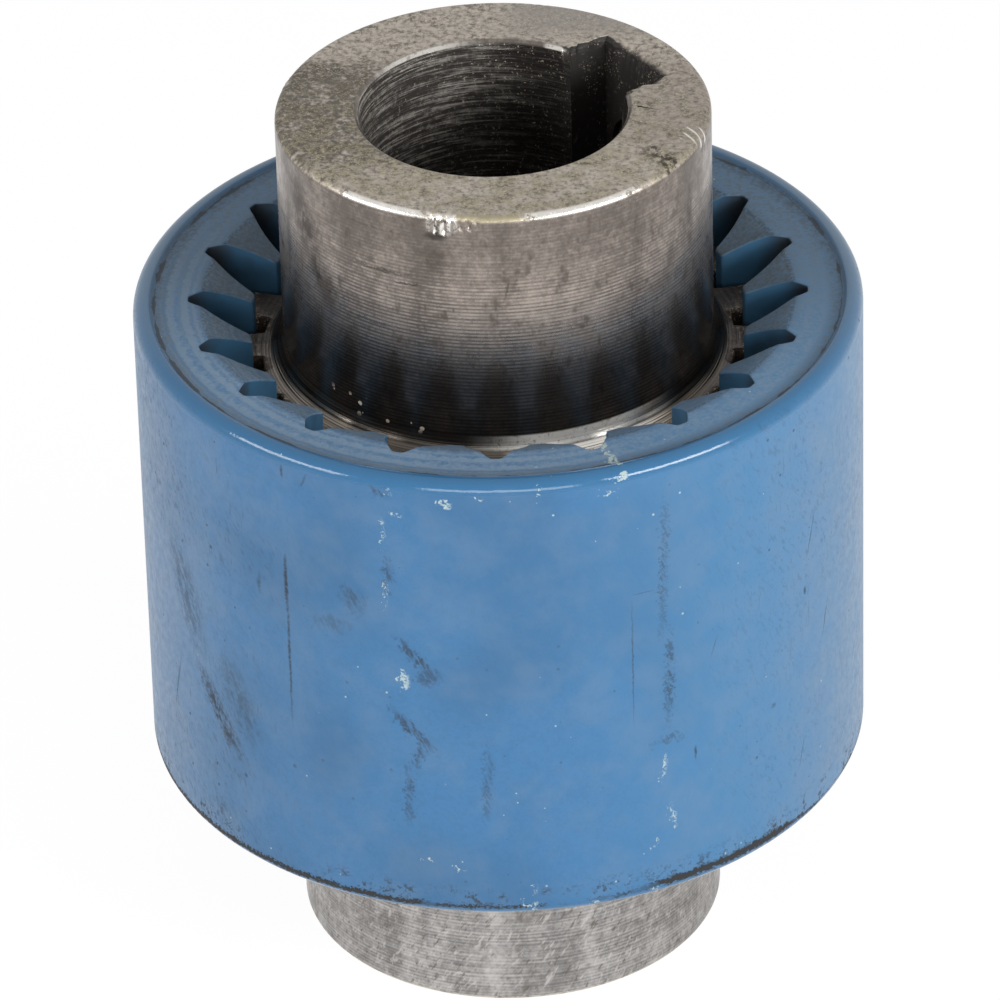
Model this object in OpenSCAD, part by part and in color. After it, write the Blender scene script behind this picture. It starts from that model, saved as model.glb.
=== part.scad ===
// Shaft coupling of three main pieces: two keyed steel hubs with crowned teeth, and a plastic
// sleeve with straight inner teeth that joins them.
// The shaft axis is Z, and the origin is the middle of the sleeve.

/* [Sleeve] */
// length of the sleeve
sleeve_len = 46; // [34:1:70]
// wall of the sleeve outside the bottoms of its gaps
sleeve_wall = 5; // [3:0.1:12]
// radius that rounds the outer edge of the rim
rim_r = 1.2; // [0.5:0.1:1.5]
// radial width of the raised rim at each end
rim_w = 1.7; // [1.5:0.1:4]
// depth of the end face below the raised rim
face_drop = 0.4; // [0.1:0.1:1.5]
// thickness of the stop ring in the middle of the sleeve
stop_t = 2.7; // [2:0.1:8]
// how far the stop ring stands in from the tips of the sleeve teeth
stop_h = 3; // [1:0.1:5]
// radial width of the bevel on the ends of the sleeve teeth
bevel_w = 4.2; // [1:0.1:6]
// depth of that bevel at the tips of the sleeve teeth
bevel_d = 2.2; // [0.5:0.1:4]

/* [Teeth] */
// number of teeth on each hub and in the sleeve
tooth_count = 20; // [16:1:26]
// radial depth of a gap in the sleeve
gap_depth = 5.5; // [3:0.1:6]
// share of the tooth pitch that a gap takes at its mouth
gap_share = 0.806; // [0.6:0.01:0.82]
// width of a gap at its bottom
gap_root_w = 1; // [0.4:0.1:2]
// radius of the hollow side of a sleeve tooth, seen from the end
hollow_r = 10; // [8:0.5:30]
// radius of the rounded side of a hub tooth, seen from the end
flank_r = 7; // [6:0.5:9]
// how far outside the tips of the sleeve teeth a hub tooth is thickest
bulge_out = 0.4; // [0:0.1:1]
// clearance between a hub tooth and each side of its gap, half way up
flank_clear = 0.25; // [0.15:0.01:0.4]
// clearance between the tip of a hub tooth and the bottom of its gap
tip_clear = 0.5; // [0.3:0.05:1]
// clearance between the tip of a sleeve tooth and the hub
root_clear = 1.05; // [0.4:0.05:1.5]
// radius of the lengthwise crown on the sides of a hub tooth
crown_r = 160; // [100:5:400]

/* [Hubs] */
// length of a hub
hub_len = 40; // [30:1:60]
// play between the stop ring and the inner face of each hub
hub_float = 0.7; // [0.5:0.1:2]
// wall of the plain collar behind the keyway
collar_wall = 4.2; // [3.6:0.1:8]
// distance of the collar from the tips of the sleeve teeth
collar_clear = 3; // [2:0.1:6]
// width of the toothed part of a hub
gear_w = 15.5; // [12:0.1:26]
// radius of the fillet between the collar and the toothed part
neck_r = 2.2; // [0.5:0.1:4]
// chamfer on the outer edge of the collar
collar_chamfer = 0.8; // [0.2:0.1:2]
// diameter of the shaft bore
bore_d = 24; // [16:1:32]
// chamfer on the edges of the bore
bore_chamfer = 0.4; // [0.1:0.1:1]

/* [Keyway] */
// width of the keyway
key_w = 8; // [4:0.5:10]
// depth of the keyway beyond the wall of the bore
key_depth = 3.3; // [1.5:0.1:5]
// bevel worn on the two long edges of the keyway
key_bevel = 0.4; // [0.1:0.1:1]
// number of the hub tooth that the keyway points at, counted from +X
key_tooth = 2; // [0:1:19]

/* [Set screws] */
// thread diameter of a set screw
screw_d = 6; // [4:0.5:8]
// distance of a set screw from the outer face of its hub
screw_inset = 10; // [7:0.5:16]
// radial clearance around a set screw
screw_clear = 0.05; // [0.02:0.01:0.1]
// how far a set screw stays below the collar
screw_sink = 0.2; // [0:0.1:1]
// width across the flats of the socket in a set screw
socket_w = 3; // [2:0.5:4]
// depth of the socket in a set screw
socket_depth = 2; // [1:0.1:3]

/* [Part shown] */
// node to draw, or all

/* [Hidden] */
$fn = 96;
over = 1;
pitch_angle = 360 / tooth_count;
key_angle = key_tooth * pitch_angle;
bore_r = bore_d / 2;
key_reach = bore_r + key_depth;
collar_r = key_reach + collar_wall;
sleeve_tip_r = collar_r + collar_clear;
gap_root_r = sleeve_tip_r + gap_depth;
sleeve_r = gap_root_r + sleeve_wall;
bevel_r = sleeve_tip_r + bevel_w;
gap_mouth_w = gap_share * sleeve_tip_r * 2 * PI / tooth_count;
hub_tip_r = gap_root_r - tip_clear;
hub_root_r = sleeve_tip_r - root_clear;
stop_r = sleeve_tip_r - stop_h;
hub_gap = stop_t + 2 * hub_float;
gear_mid = (hub_gap + gear_w) / 2;
hub_end = hub_gap / 2 + hub_len;
gear_face = hub_gap / 2 + gear_w;
screw_z = hub_end - screw_inset;
screw_len = collar_r - key_reach - screw_sink;
// the side of a gap is an arc through its mouth corner and its bottom corner
side_x = (gap_mouth_w - gap_root_w) / 2;
side_chord = norm([side_x, gap_depth]);
side_rise = sqrt(pow(hollow_r, 2) - pow(side_chord / 2, 2));
hollow_x = (gap_mouth_w + gap_root_w) / 4 - side_rise * gap_depth / side_chord;
hollow_y = sleeve_tip_r + gap_depth / 2 - side_rise * side_x / side_chord;
// the side of a hub tooth is an arc that clears the gap half way up
half_way_r = sleeve_tip_r + gap_depth / 2;
half_way_w = hollow_x + sqrt(pow(hollow_r, 2) - pow(half_way_r - hollow_y, 2));
flank_y = sleeve_tip_r + bulge_out;
flank_x = half_way_w - flank_clear - sqrt(pow(flank_r, 2) - pow(half_way_r - flank_y, 2));
// the crown turns about a line that stands off from the side of the tooth
crown_x = flank_r + flank_x - crown_r;
crown_angle = asin(gear_w / crown_r);

// outline of one gap in the sleeve, along +X
module gap_outline() {
  intersection() {
    translate([hollow_y, hollow_x])
      circle(r = hollow_r);
    translate([hollow_y, -hollow_x])
      circle(r = hollow_r);
    translate([hub_root_r - over, -gap_mouth_w])
      square([gap_depth + root_clear + 2 * over, 2 * gap_mouth_w]);
  }
}

// all the gaps of the sleeve, cut back to the radius of their bottoms
module gap_ring_outline() {
  intersection() {
    circle(r = gap_root_r);
    union() {
      circle(r = sleeve_tip_r);
      for (i = [0:tooth_count - 1])
        rotate(i * pitch_angle)
          gap_outline();
    }
  }
}

// the body of the sleeve between its rounded rims
module sleeve_blank() {
  straight = sleeve_len - 2 * rim_r;
  rotate_extrude()
    union() {
      translate([0, -sleeve_len / 2])
        square([sleeve_r - rim_r, sleeve_len]);
      translate([0, -straight / 2])
        square([sleeve_r, straight]);
      for (side = [-1, 1])
        translate([sleeve_r - rim_r, side * straight / 2])
          circle(r = rim_r);
    }
}

// what the raised rim stands round at the upper end: the sunk face and the bevelled tooth ends
module end_cut() {
  face = sleeve_len / 2 - face_drop;
  rim_inner_r = sleeve_r - rim_w;
  rotate_extrude()
    polygon([
      [0, face - bevel_d],
      [sleeve_tip_r, face - bevel_d],
      [bevel_r, face],
      [rim_inner_r, face],
      [rim_inner_r, face + face_drop + over],
      [0, face + face_drop + over]
    ]);
}

module sleeve() {
  tunnel = sleeve_len / 2 - stop_t / 2;
  color([0.16, 0.36, 0.6])
    difference() {
      sleeve_blank();
      for (side = [0, 1])
        mirror([0, 0, side]) {
          translate([0, 0, stop_t / 2])
            linear_extrude(height = tunnel + over)
              gap_ring_outline();
          end_cut();
        }
      cylinder(r = stop_r, h = stop_t + 2 * over, center = true);
    }
}

// a body whose one face is the crowned side of the hub tooth along +X
module crowned_side() {
  rotate([90, 0, 90])
    translate([crown_x, 0, 0])
      rotate([0, 0, -crown_angle])
        rotate_extrude(angle = 2 * crown_angle)
          intersection() {
            translate([flank_x - crown_x, flank_y])
              circle(r = flank_r);
            translate([-crown_x - gap_mouth_w, hub_root_r - over])
              square([2 * gap_mouth_w, gap_depth + root_clear + 2 * over]);
          }
}

// one crowned hub tooth: two rounded sides under a ball-shaped tip
module hub_tooth() {
  intersection() {
    crowned_side();
    rotate([180, 0, 0])
      crowned_side();
    sphere(r = hub_tip_r, $fn = 192);
    translate([hub_root_r - over, -gap_mouth_w, -gear_w / 2])
      cube([gap_depth + root_clear + over, 2 * gap_mouth_w, gear_w]);
  }
}

// the turned body of a hub, from its inner face up to its outer face
module hub_blank() {
  neck_top = gear_face + neck_r;
  neck_x = min(hub_root_r, collar_r + neck_r);
  rotate_extrude()
    difference() {
      union() {
        polygon([
          [0, hub_gap / 2],
          [hub_root_r, hub_gap / 2],
          [hub_root_r, gear_face],
          [0, gear_face]
        ]);
        polygon([
          [0, gear_face],
          [neck_x, gear_face],
          [neck_x, neck_top],
          [collar_r, neck_top],
          [collar_r, hub_end - collar_chamfer],
          [collar_r - collar_chamfer, hub_end],
          [0, hub_end]
        ]);
      }
      translate([collar_r + neck_r, neck_top])
        circle(r = neck_r);
    }
}

// the shaft bore with its chamfers
module bore_cut() {
  translate([0, 0, hub_gap / 2 - over])
    cylinder(r = bore_r, h = hub_len + 2 * over);
  for (end = [0, 1])
    translate([0, 0, hub_gap / 2 + end * hub_len])
      rotate([180 * end, 0, 0])
        translate([0, 0, -over])
          cylinder(r1 = bore_r + bore_chamfer + over, r2 = bore_r, h = bore_chamfer + over);
}

// the keyway through the whole hub, with its worn long edges
module keyway_cut() {
  mouth_x = sqrt(pow(bore_r, 2) - pow(key_w / 2, 2));
  rotate(key_angle)
    translate([0, 0, hub_gap / 2 - over])
      linear_extrude(height = hub_len + 2 * over)
        union() {
          translate([0, -key_w / 2])
            square([key_reach, key_w]);
          polygon([
            [mouth_x - 2 * key_bevel, -key_w / 2 - 2 * key_bevel],
            [mouth_x + key_bevel, -key_w / 2],
            [mouth_x + key_bevel, key_w / 2],
            [mouth_x - 2 * key_bevel, key_w / 2 + 2 * key_bevel]
          ]);
        }
}

module hub() {
  difference() {
    union() {
      hub_blank();
      for (i = [0:tooth_count - 1])
        rotate(i * pitch_angle)
          translate([0, 0, gear_mid])
            hub_tooth();
    }
    bore_cut();
    keyway_cut();
    rotate(key_angle)
      translate([bore_r, 0, screw_z])
        rotate([0, 90, 0])
          cylinder(d = screw_d, h = collar_r - bore_r + over);
  }
}

module upper_hub() {
  color([0.55, 0.52, 0.49])
    hub();
}

// the same hub, turned over
module lower_hub() {
  color([0.6, 0.59, 0.58])
    rotate([180, 0, 2 * key_angle])
      hub();
}

// a set screw with a socket and a cup point, along +X
module set_screw() {
  body_r = screw_d / 2 - screw_clear;
  rotate(key_angle)
    translate([key_reach, 0, screw_z])
      rotate([0, 90, 0])
        difference() {
          cylinder(r = body_r, h = screw_len);
          translate([0, 0, screw_len - socket_depth])
            linear_extrude(height = socket_depth + over)
              circle(d = socket_w / cos(30), $fn = 6);
          translate([0, 0, -over])
            cylinder(r1 = body_r / 2 + over, r2 = 0, h = body_r / 2 + over);
        }
}

module upper_set_screw() {
  color([0.15, 0.15, 0.16])
    set_screw();
}

module lower_set_screw() {
  color([0.15, 0.15, 0.16])
    rotate([180, 0, 2 * key_angle])
      set_screw();
}

sleeve();
upper_hub();
lower_hub();
upper_set_screw();
lower_set_screw();
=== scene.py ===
"""Looks of a curved-tooth shaft coupling: two keyed steel hubs in a blue plastic sleeve."""
import math

import bmesh
import bpy
import numpy as np
from mathutils import Matrix, Vector, noise


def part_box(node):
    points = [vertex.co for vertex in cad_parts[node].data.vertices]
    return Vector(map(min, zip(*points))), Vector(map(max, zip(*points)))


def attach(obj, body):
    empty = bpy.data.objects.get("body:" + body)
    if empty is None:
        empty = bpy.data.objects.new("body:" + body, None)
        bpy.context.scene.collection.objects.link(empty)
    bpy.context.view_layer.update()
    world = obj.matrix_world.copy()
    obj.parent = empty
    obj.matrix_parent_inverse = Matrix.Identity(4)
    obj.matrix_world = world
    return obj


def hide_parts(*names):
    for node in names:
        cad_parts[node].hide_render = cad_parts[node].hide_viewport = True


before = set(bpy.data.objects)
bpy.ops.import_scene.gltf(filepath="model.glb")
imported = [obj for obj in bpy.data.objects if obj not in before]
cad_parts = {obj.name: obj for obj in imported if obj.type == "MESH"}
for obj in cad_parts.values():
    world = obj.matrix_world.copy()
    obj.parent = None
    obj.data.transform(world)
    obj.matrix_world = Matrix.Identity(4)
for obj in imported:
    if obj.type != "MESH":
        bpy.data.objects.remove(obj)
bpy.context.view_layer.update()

bl_info = {
    "name": "Shaft coupling",
    "version": (1, 0, 0),
    "blender": (4, 5, 0),
    "location": "3D View > Sidebar > Coupling",
    "description": "Builds the pieces and the studio of a curved-tooth shaft coupling",
    "category": "Object",
}

MM = 0.001
SLEEVE_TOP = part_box("sleeve")[1]
HUB_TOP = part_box("upper_hub")[1].z
HUB_INNER_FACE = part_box("upper_hub")[0].z
WELD = 0.002 * MM
AXIS_GAP = 0.02 * MM
WHITE = (1, 1, 1, 1)


# Settings

def length(name, description, value):
    """A size in metres that a user can change."""
    return bpy.props.FloatProperty(
        name=name, description=description, default=value, min=0.0, precision=5, unit="LENGTH"
    )


def colour(name, description, *value):
    """A linear colour that a user can change."""
    return bpy.props.FloatVectorProperty(
        name=name, description=description, default=(*value, 1), size=4, min=0.0, max=1.0, subtype="COLOR"
    )


def number(name, description, value):
    """A plain number that a user can change."""
    return bpy.props.FloatProperty(name=name, description=description, default=value)


def count(name, description, value, least):
    """A whole number that a user can change."""
    return bpy.props.IntProperty(name=name, description=description, default=value, min=least)


class TeethSettings(bpy.types.PropertyGroup):
    """Sizes that the sleeve's gaps and the hubs' teeth share."""

    count: count("Teeth", "Teeth on each hub", 20, 12)
    gap_bottom: length("Gap bottom", "Radius of the bottoms of the sleeve's gaps", 28 * MM)
    tooth_tip: length("Sleeve tooth tip", "Radius of the tips of the sleeve's teeth", 22.5 * MM)
    mouth_share: number("Gap share", "Share of the pitch that a gap takes at its mouth", 0.806)
    bottom_width: length("Gap bottom width", "Width of a gap at its bottom", 1 * MM)
    hollow: length("Gap side radius", "Radius of the hollow side of a sleeve tooth", 10 * MM)
    hub_flank: length("Hub flank radius", "Radius of the rounded side of a hub tooth", 7 * MM)
    bulge: length("Bulge", "How far outside the sleeve tips a hub tooth is thickest", 0.4 * MM)
    side_clearance: length("Side clearance", "Clearance beside a hub tooth, half way up", 0.25 * MM)
    hub_tip: length("Hub tip", "Radius of the ball that the hub's tips lie on", 27.5 * MM)
    hub_root: length("Hub root", "Radius between the hub's teeth", 21.45 * MM)
    crown: length("Crown radius", "Radius of the lengthwise crown of a hub tooth", 160 * MM)


class SleeveSettings(bpy.types.PropertyGroup):
    """Sizes and colours of the plastic sleeve."""

    rim_round: length("Rim rounding", "Radius of the rim's outer edge", 1.2 * MM)
    rim_width: length("Rim width", "Radial width of the raised rim", 1.7 * MM)
    face_drop: length("Face drop", "Depth of the end face below the rim", 0.4 * MM)
    stop_radius: length("Stop ring radius", "Inner radius of the stop ring", 19.5 * MM)
    stop_thickness: length("Stop ring thickness", "Thickness of the stop ring", 2.7 * MM)
    bevel_width: length("Bevel width", "Radial width of the bevel on the tooth ends", 4.2 * MM)
    bevel_depth: length("Bevel depth", "Depth of that bevel at the tips", 2.2 * MM)
    edge: length("Edge rounding", "Rounding of the tooth ends", 0.12 * MM)
    plastic: colour("Plastic", "Clean plastic", 0.036, 0.147, 0.315)
    # Painted light: a paler plastic painted on the right side, standing for more light falling there.
    painted_right_light: colour("Faded plastic", "Paler plastic of the right side", 0.046, 0.168, 0.332)
    rim: colour("Rim", "Rubbed plastic of the rim", 0.024, 0.125, 0.265)
    dust: colour("Dust", "Dry dust on the outside", 0.13, 0.20, 0.29)
    film: colour("Dust film", "Dull film on the end faces", 0.175, 0.265, 0.37)
    tooth_dirt: colour("Tooth dirt", "Dirt on the bevelled ends of the teeth", 0.055, 0.075, 0.09)
    # Grease on the gap walls, and painted shade: the colour deepens further down into the gaps.
    gap_grease_and_shade: colour("Gap wall", "Greasy walls of the gaps", 0.02, 0.088, 0.165)
    # Grime, and also painted shade at the roots of the gaps and beside the rim.
    grime_and_shade: colour("Grime", "Black grease in corners and scratches", 0.013, 0.015, 0.017)
    chalk: colour("Chalk", "Pale scuffs and crumbs", 0.40, 0.49, 0.48)


class HubSettings(bpy.types.PropertyGroup):
    """Sizes and colours of the two steel hubs."""

    collar: length("Collar radius", "Radius of the plain collar", 19.5 * MM)
    bore: length("Bore radius", "Radius of the shaft bore", 12 * MM)
    gear_width: length("Gear width", "Width of the toothed part", 15.5 * MM)
    neck: length("Neck fillet", "Radius of the fillet at the foot of the collar", 2.2 * MM)
    chamfer: length("Chamfer", "Chamfer on the collar's outer edge", 0.8 * MM)
    bore_chamfer: length("Bore chamfer", "Chamfer on the bore's edges", 0.4 * MM)
    key_width: length("Keyway width", "Width of the keyway", 8 * MM)
    key_reach: length("Keyway floor", "Distance of the keyway's floor from the axis", 15.3 * MM)
    key_bevel: length("Keyway bevel", "Bevel worn on the keyway's long edges", 0.4 * MM)
    key_tooth: count("Keyway tooth", "Tooth that the keyway points at, counted from +X", 2, 0)
    steel: colour("Stained steel", "Steel of the upper hub", 0.30, 0.258, 0.229)
    pale_steel: colour("Brushed steel", "Steel of the lower hub", 0.38, 0.365, 0.355)
    rubbed: colour("Rubbed steel", "Pale rubs on the lower hub", 0.62, 0.59, 0.56)
    face: colour("End face", "Speckled steel of the end face", 0.53, 0.475, 0.41)
    grit: colour("Grit", "Pale dry crumbs", 0.55, 0.48, 0.38)
    # Bare steel of worn edges and nicks, and the colour of the painted highlights on the collar's edge, the
    # bore's edge, the gear's face and the collar's foot.
    bright: colour("Bright steel", "Steel worn bare on edges and nicks", 0.80, 0.77, 0.72)
    # Dark stain, and on the lower hub also painted shade towards its left and right sides.
    oxide_and_shade: colour("Oxide", "Dark stain on the steel", 0.11, 0.09, 0.075)
    stain: colour("Stain", "Brown stains on the collar", 0.055, 0.042, 0.034)
    # Painted dark reflection: this colour darkens the lower part of the upper hub's collar.
    film: colour("Oil film", "Dark film low on the collar", 0.07, 0.07, 0.075)
    scar: colour("Scars", "Thin dark scars on the collar", 0.05, 0.042, 0.036)
    nick: colour("Nick", "Shade under the nick in the collar's edge", 0.03, 0.026, 0.022)
    speckle: colour("Speckles", "Dark speckles of the end face", 0.12, 0.105, 0.088)
    tan: colour("Tan film", "Dried dirt on the end face", 0.34, 0.30, 0.20)
    haze: colour("Brown haze", "Haze on the right of the end face", 0.2, 0.165, 0.14)
    blotch: colour("Blotches", "Dark blotches of the end face", 0.085, 0.07, 0.055)
    smooth: colour("Smooth patch", "Smoother steel at the back of the end face", 0.31, 0.285, 0.26)
    flecks: colour("Flecks", "Pale flecks of the end face", 0.66, 0.6, 0.5)
    drip: colour("Dark drip", "Stain at the right of the end face", 0.03, 0.022, 0.016)
    rust: colour("Rust", "Brown of the gear's face", 0.11, 0.07, 0.045)
    crust: colour("Crust", "Dark crust on the gear's face", 0.025, 0.019, 0.015)
    groove: colour("Grooves", "Grooves turned into the neck", 0.05, 0.04, 0.031)
    # Painted highlight: these ridges show only where the neck's highlight is painted.
    ridge: colour("Ridges", "Bright ridges between those grooves", 0.55, 0.49, 0.42)
    neck_dirt: colour("Neck dirt", "Dirt on the neck", 0.055, 0.045, 0.036)
    soot: colour("Soot", "Black of the bore and the keyway", 0.022, 0.019, 0.017)
    # Painted light: this colour and the tool marks below stand for light on the bore's left side.
    lit_bore: colour("Thin soot", "Soot on the bore's left side", 0.085, 0.077, 0.07)
    cut: colour("Tool marks", "Bright tool marks in the bore", 0.72, 0.67, 0.61)
    key_scuff: colour("Keyway scuffs", "Scuffs in the keyway", 0.12, 0.105, 0.095)


class ScrewSettings(bpy.types.PropertyGroup):
    """Sizes and colour of the set screws."""

    radius: length("Thread radius", "Outer radius of the thread", 2.95 * MM)
    hole: length("Hole radius", "Radius of the hole in the hub", 3 * MM)
    hole_bevel: length("Hole bevel", "Bevel at the mouth of the hole", 0.45 * MM)
    pitch: length("Pitch", "Distance between two turns of the thread", 1 * MM)
    thread_depth: length("Thread depth", "Depth of the thread", 0.45 * MM)
    inset: length("Inset", "Distance from the outer face of the hub", 10 * MM)
    sink: length("Sink", "How far the screw stays below the collar", 0.2 * MM)
    socket: length("Socket", "Width across the flats of the socket", 3 * MM)
    socket_depth: length("Socket depth", "Depth of the socket", 2 * MM)
    black: colour("Blackened steel", "Finish of the screws", 0.045, 0.043, 0.045)
    grit: colour("Grit", "Grit in the thread", 0.16, 0.12, 0.09)


class StageSettings(bpy.types.PropertyGroup):
    """Floor, light and camera."""

    floor: colour("Floor", "Colour of the floor", 0.9, 0.9, 0.9)
    floor_glow: number("Floor glow", "Share of plain white that the camera sees in the floor", 0.85)
    floor_white: number("Floor white", "Strength of that plain white", 1.07)
    ambient: number("Ambient", "Even light from all sides", 0.4)
    gloss: number("Gloss", "White that glossy surfaces mirror", 0.8)
    azimuth: number("Camera azimuth", "Degrees round the object", 1.152)
    elevation: number("Camera elevation", "Degrees above the horizon", 32.445)
    roll: number("Camera roll", "Degrees about the line of sight", -1.541)
    distance: length("Camera distance", "From the middle of the sleeve", 796.8 * MM)
    aim: bpy.props.FloatVectorProperty(
        name="Camera aim", description="Point that the camera looks at",
        default=(-0.0003, 0.0002, 0.00035), precision=5, unit="LENGTH"
    )
    lens: number("Lens", "Focal length in mm", 312.66)


def settings(name):
    """One of the scene's groups of settings."""
    return getattr(bpy.context.scene, "coupling_" + name)


def key_angle():
    """Angle of the upper hub's keyway and set screw."""
    return settings("hub").key_tooth * math.tau / settings("teeth").count


# Helpers

def placed(name, data):
    """A new object in the scene for a mesh, a light or a camera."""
    made = bpy.data.objects.new(name, data)
    bpy.context.scene.collection.objects.link(made)
    return made


def baked(piece):
    """The mesh of an object with its modifiers applied; the object itself goes."""
    evaluated = piece.evaluated_get(bpy.context.evaluated_depsgraph_get())
    mesh = bpy.data.meshes.new_from_object(evaluated)
    bpy.data.objects.remove(piece)
    return mesh


def connect(tree, node, inputs):
    """Gives inputs of a node a plain value, a socket or the first output of another node."""
    for key, value in inputs.items():
        value = getattr(value, "socket", value)
        if isinstance(value, bpy.types.Node):
            value = value.outputs[0]
        if isinstance(value, bpy.types.NodeSocket):
            tree.links.new(value, node.inputs[key])
        else:
            node.inputs[key].default_value = value


def add_node(tree, kind, inputs=None, **values):
    """A new node with its properties and its inputs."""
    made = tree.nodes.new(kind)
    for key, value in values.items():
        setattr(made, key, value)
    connect(tree, made, inputs or {})
    return made


# Meshes

def polar(radius, angle, height):
    """A point from its radius, its angle and its height."""
    return (radius * math.cos(angle), radius * math.sin(angle), height)


def spread(first, last, steps):
    """Evenly spaced values from first to last, both included."""
    return [first + (last - first) * i / steps for i in range(steps + 1)]


def arc(radius, first, last, steps):
    """Flat points of an arc round the middle."""
    return [polar(radius, a, 0)[:2] for a in spread(first, last, steps)]


def round_corner(points, index, reach, steps):
    """Replaces one corner of a flat polyline by a short curve that starts and ends reach away."""
    corner = Vector(points[index])
    before = Vector(points[index - 1]) - corner
    after = Vector(points[index + 1]) - corner
    start = corner + before.normalized() * min(reach, before.length * 0.6)
    end = corner + after.normalized() * min(reach, after.length * 0.6)
    curve = []
    for t in spread(0, 1, steps):
        curve.append(tuple(start * (1 - t) ** 2 + corner * 2 * t * (1 - t) + end * t * t))
    return points[:index] + curve + points[index + 1:]


def grid_mesh(name, points, closed=False):
    """A mesh of quads over a grid of points, facing right of the way that the rows grow."""
    points = np.array(points)
    rows, columns = points.shape[:2]
    row = np.arange(rows - 1)[:, None] * columns
    left = np.arange(columns if closed else columns - 1)[None, :]
    right = (left + 1) % columns
    corners = [row + left, row + right, row + columns + right, row + columns + left]
    faces = np.stack(corners, axis=-1).reshape(-1, 4)
    mesh = bpy.data.meshes.new(name)
    mesh.from_pydata(points.reshape(-1, 3).tolist(), [], faces.tolist())
    return mesh


def ring_tree():
    """Geometry nodes that repeat one sector of a toothed ring about Z and weld the copies."""
    tree = bpy.data.node_groups.new("toothed_ring", "GeometryNodeTree")
    wanted = {"Sector": "Geometry", "Tooth count": "Int", "Weld distance": "Float", "Material": "Material"}
    for label, kind in wanted.items():
        tree.interface.new_socket(label, in_out="INPUT", socket_type="NodeSocket" + kind)
    tree.interface.new_socket("Ring", in_out="OUTPUT", socket_type="NodeSocketGeometry")
    given = add_node(tree, "NodeGroupInput").outputs
    points = add_node(tree, "GeometryNodePoints", {"Count": given["Tooth count"]})
    index = add_node(tree, "GeometryNodeInputIndex")
    step = add_node(tree, "ShaderNodeMath", {0: math.tau, 1: given["Tooth count"]}, operation="DIVIDE")
    turn = add_node(tree, "ShaderNodeMath", {0: index, 1: step}, operation="MULTIPLY")
    euler = add_node(tree, "ShaderNodeCombineXYZ", {"Z": turn})
    rotation = add_node(tree, "FunctionNodeEulerToRotation", {0: euler})
    inputs = {"Points": points, "Instance": given["Sector"], "Rotation": rotation}
    copies = add_node(tree, "GeometryNodeInstanceOnPoints", inputs)
    real = add_node(tree, "GeometryNodeRealizeInstances", {0: copies})
    inputs = {"Geometry": real, "Distance": given["Weld distance"]}
    weld = add_node(tree, "GeometryNodeMergeByDistance", inputs)
    inputs = {"Geometry": weld, "Material": given["Material"]}
    add_node(tree, "NodeGroupOutput", {0: add_node(tree, "GeometryNodeSetMaterial", inputs)})
    return tree


def toothed_ring(name, sector, material):
    """The mesh of a whole ring, made from the mesh of one sector of it."""
    piece = placed(name, sector)
    tree = bpy.data.node_groups.get("toothed_ring") or ring_tree()
    modifier = piece.modifiers.new("ring", "NODES")
    modifier.node_group = tree
    values = {"Tooth count": settings("teeth").count, "Weld distance": WELD, "Material": material}
    for item in tree.interface.items_tree:
        if item.in_out == "INPUT" and item.name in values:
            modifier[item.identifier] = values[item.name]
    return baked(piece)


def finished(name, mesh, material, body):
    """A shown piece that stands for the CAD node of its own name and rides on a body."""
    mesh.name = name
    mesh.materials.clear()
    mesh.materials.append(material)
    mesh.polygons.foreach_set("use_smooth", [True] * len(mesh.polygons))
    mesh.polygons.foreach_set("material_index", [0] * len(mesh.polygons))
    mesh.set_sharp_from_angle(angle=math.radians(32))
    piece = placed(name + "_piece", mesh)
    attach(piece, body)
    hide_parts(name)


# Teeth

def gap_half_width():
    """How half of a gap's width follows from the distance along it."""
    teeth = settings("teeth")
    depth = teeth.gap_bottom - teeth.tooth_tip
    mouth = teeth.mouth_share * teeth.tooth_tip * math.tau / teeth.count
    across = (mouth - teeth.bottom_width) / 2
    chord = math.hypot(across, depth)
    rise = math.sqrt(teeth.hollow ** 2 - (chord / 2) ** 2)
    middle = (mouth + teeth.bottom_width) / 4
    centre_along = teeth.tooth_tip + depth / 2 - rise * across / chord
    centre_across = middle - rise * depth / chord
    return lambda y: centre_across + math.sqrt(teeth.hollow ** 2 - (y - centre_along) ** 2)


def sector_outline(outer, outer_angle, half_width, inner, stop, inner_steps, inner_corner, outer_corner):
    """Outline of one sector along +X: an outer arc, the sides that half_width gives, and inner arcs.

    stop is where the side ends before it is drawn to the inner radius. A corner is how far its
    rounding reaches and in how many steps.
    """
    outer_steps = 2
    half = arc(outer, 0, outer_angle, outer_steps)
    side = [(y, half_width(y)) for y in spread(outer * 0.9995, stop, 9)][1:]
    side[-1] = tuple(Vector(side[-1]).normalized() * inner)
    inner_angle = math.atan2(side[-1][1], side[-1][0])
    half += side + arc(inner, inner_angle, math.pi / settings("teeth").count, inner_steps)[1:]
    half = round_corner(half, len(half) - inner_steps - 1, *inner_corner)
    half = round_corner(half, outer_steps, *outer_corner)
    return [(x, -y) for x, y in reversed(half[1:])] + half


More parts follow.
